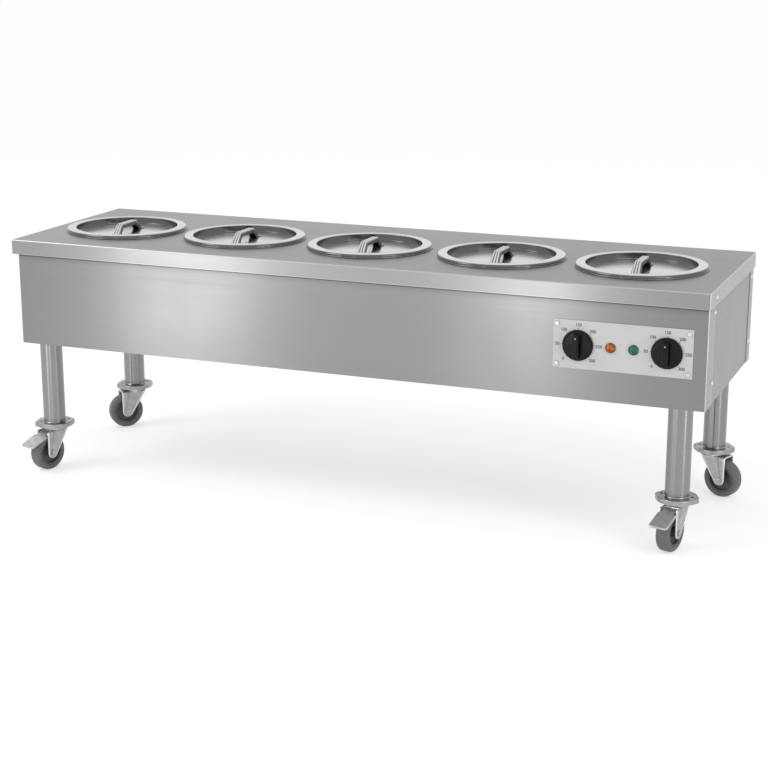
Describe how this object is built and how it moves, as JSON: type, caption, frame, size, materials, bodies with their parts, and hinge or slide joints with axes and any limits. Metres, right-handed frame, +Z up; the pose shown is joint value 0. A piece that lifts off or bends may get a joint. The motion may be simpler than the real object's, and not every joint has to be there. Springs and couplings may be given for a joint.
{
  "type": "electric food warmer",
  "caption": "Long stainless bain-marie food warmer: round lidded pots hang in a worktop over a heated tank, with dial controls in front and tube legs on swivel casters.",
  "frame": {"origin": "on the floor, under the centre of the box at rest", "axes": "+X along the worktop towards the control end, +Y towards the back, +Z up"},
  "size_m": [1.6071, 0.5302, 0.5643],
  "materials": {
    "satin_stainless": "satin",
    "polished_stainless": "polished",
    "zinc_plated_steel": "satin",
    "pale_plate": "matt",
    "amber_lens": "gloss",
    "green_lens": "gloss",
    "black_plastic": "satin",
    "element_sheath": "matt",
    "grey_plastic": "matt",
    "grey_rubber": "matt"
  },
  "bodies": {
    "cabinet": {"top_slab": "satin_stainless", "front_panel": "satin_stainless", "back_panel": "satin_stainless", "left_side_panel": "satin_stainless", "right_side_panel": "satin_stainless", "base_panel": "satin_stainless", "cabinet_screws": "zinc_plated_steel", "control_plate": "pale_plate", "control_plate_screws": "zinc_plated_steel", "amber_lamp_lens": "amber_lens", "green_lamp_lens": "green_lens", "lamp_bodies": "black_plastic", "thermostats": "black_plastic", "water_tank": "satin_stainless", "heating_elements": "element_sheath", "terminal_block": "black_plastic", "cable_gland": "black_plastic", "leg_sockets": "satin_stainless", "foot_flanges": "zinc_plated_steel", "caster_heads": "zinc_plated_steel", "flange_bolts": "zinc_plated_steel", "leg_front_left": "satin_stainless", "leg_front_right": "satin_stainless", "leg_back_left": "satin_stainless", "leg_back_right": "satin_stainless"},
    "pot_body_1": {"pot_1": "polished_stainless"},
    "lid_body_1": {"lid_1": "polished_stainless", "lid_handle_1": "polished_stainless"},
    "pot_body_2": {"pot_2": "polished_stainless"},
    "lid_body_2": {"lid_2": "polished_stainless", "lid_handle_2": "polished_stainless"},
    "pot_body_3": {"pot_3": "polished_stainless"},
    "lid_body_3": {"lid_3": "polished_stainless", "lid_handle_3": "polished_stainless"},
    "pot_body_4": {"pot_4": "polished_stainless"},
    "lid_body_4": {"lid_4": "polished_stainless", "lid_handle_4": "polished_stainless"},
    "pot_body_5": {"pot_5": "polished_stainless"},
    "lid_body_5": {"lid_5": "polished_stainless", "lid_handle_5": "polished_stainless"},
    "left_knob_body": {"left_knob": "black_plastic"},
    "right_knob_body": {"right_knob": "black_plastic"},
    "caster_front_left": {"fork_front_left": "zinc_plated_steel", "axle_front_left": "zinc_plated_steel"},
    "wheel_front_left": {"hub_front_left": "grey_plastic", "tyre_front_left": "grey_rubber"},
    "brake_front_left": {"pedal_front_left": "zinc_plated_steel"},
    "caster_front_right": {"fork_front_right": "zinc_plated_steel", "axle_front_right": "zinc_plated_steel"},
    "wheel_front_right": {"hub_front_right": "grey_plastic", "tyre_front_right": "grey_rubber"},
    "brake_front_right": {"pedal_front_right": "zinc_plated_steel"},
    "caster_back_left": {"fork_back_left": "zinc_plated_steel", "axle_back_left": "zinc_plated_steel"},
    "wheel_back_left": {"hub_back_left": "grey_plastic", "tyre_back_left": "grey_rubber"},
    "caster_back_right": {"fork_back_right": "zinc_plated_steel", "axle_back_right": "zinc_plated_steel"},
    "wheel_back_right": {"hub_back_right": "grey_plastic", "tyre_back_right": "grey_rubber"}
  },
  "joints": [
    {"name": "pot_lift_1", "type": "slide", "parent": "cabinet", "child": "pot_body_1", "axis": [0, 0, 1], "range_m": [0, 0.22]},
    {"name": "lid_lift_1", "type": "slide", "parent": "pot_body_1", "child": "lid_body_1", "axis": [0, 0, 1], "range_m": [0, 0.1]},
    {"name": "pot_lift_2", "type": "slide", "parent": "cabinet", "child": "pot_body_2", "axis": [0, 0, 1], "range_m": [0, 0.22]},
    {"name": "lid_lift_2", "type": "slide", "parent": "pot_body_2", "child": "lid_body_2", "axis": [0, 0, 1], "range_m": [0, 0.1]},
    {"name": "pot_lift_3", "type": "slide", "parent": "cabinet", "child": "pot_body_3", "axis": [0, 0, 1], "range_m": [0, 0.22]},
    {"name": "lid_lift_3", "type": "slide", "parent": "pot_body_3", "child": "lid_body_3", "axis": [0, 0, 1], "range_m": [0, 0.1]},
    {"name": "pot_lift_4", "type": "slide", "parent": "cabinet", "child": "pot_body_4", "axis": [0, 0, 1], "range_m": [0, 0.22]},
    {"name": "lid_lift_4", "type": "slide", "parent": "pot_body_4", "child": "lid_body_4", "axis": [0, 0, 1], "range_m": [0, 0.1]},
    {"name": "pot_lift_5", "type": "slide", "parent": "cabinet", "child": "pot_body_5", "axis": [0, 0, 1], "range_m": [0, 0.22]},
    {"name": "lid_lift_5", "type": "slide", "parent": "pot_body_5", "child": "lid_body_5", "axis": [0, 0, 1], "range_m": [0, 0.1]},
    {"name": "left_knob_turn", "type": "hinge", "parent": "cabinet", "child": "left_knob_body", "pos_m": [0.535, -0.22381, 0.4195], "axis": [0, 1, 0], "range_deg": [-130, 130]},
    {"name": "right_knob_turn", "type": "hinge", "parent": "cabinet", "child": "right_knob_body", "pos_m": [0.717, -0.22381, 0.4195], "axis": [0, 1, 0], "range_deg": [-130, 130]},
    {"name": "swivel_front_left", "type": "hinge", "parent": "cabinet", "child": "caster_front_left", "pos_m": [-0.74, -0.17631, 0.0948], "axis": [0, 0, 1], "continuous": true},
    {"name": "roll_front_left", "type": "hinge", "parent": "caster_front_left", "child": "wheel_front_left", "pos_m": [-0.7476, -0.20118, 0.042], "axis": [0.9563, -0.2924, 0], "continuous": true},
    {"name": "brake_front_left", "type": "hinge", "parent": "caster_front_left", "child": "brake_front_left", "pos_m": [-0.74789, -0.20213, 0.0882], "axis": [-0.9563, 0.2924, 0], "range_deg": [0, 20]},
    {"name": "swivel_front_right", "type": "hinge", "parent": "cabinet", "child": "caster_front_right", "pos_m": [0.74, -0.17631, 0.0948], "axis": [0, 0, 1], "continuous": true},
    {"name": "roll_front_right", "type": "hinge", "parent": "caster_front_right", "child": "wheel_front_right", "pos_m": [0.73415, -0.20165, 0.042], "axis": [0.9744, -0.225, 0], "continuous": true},
    {"name": "brake_front_right", "type": "hinge", "parent": "caster_front_right", "child": "brake_front_right", "pos_m": [0.73393, -0.20262, 0.0882], "axis": [-0.9744, 0.225, 0], "range_deg": [0, 20]},
    {"name": "swivel_back_left", "type": "hinge", "parent": "cabinet", "child": "caster_back_left", "pos_m": [-0.74, 0.19819, 0.0948], "axis": [0, 0, 1], "continuous": true},
    {"name": "roll_back_left", "type": "hinge", "parent": "caster_back_left", "child": "wheel_back_left", "pos_m": [-0.75806, 0.17949, 0.042], "axis": [0.7193, -0.6947, 0], "continuous": true},
    {"name": "swivel_back_right", "type": "hinge", "parent": "cabinet", "child": "caster_back_right", "pos_m": [0.74, 0.19819, 0.0948], "axis": [0, 0, 1], "continuous": true},
    {"name": "roll_back_right", "type": "hinge", "parent": "caster_back_right", "child": "wheel_back_right", "pos_m": [0.76458, 0.18972, 0.042], "axis": [0.3256, 0.9455, 0], "continuous": true}
  ]
}
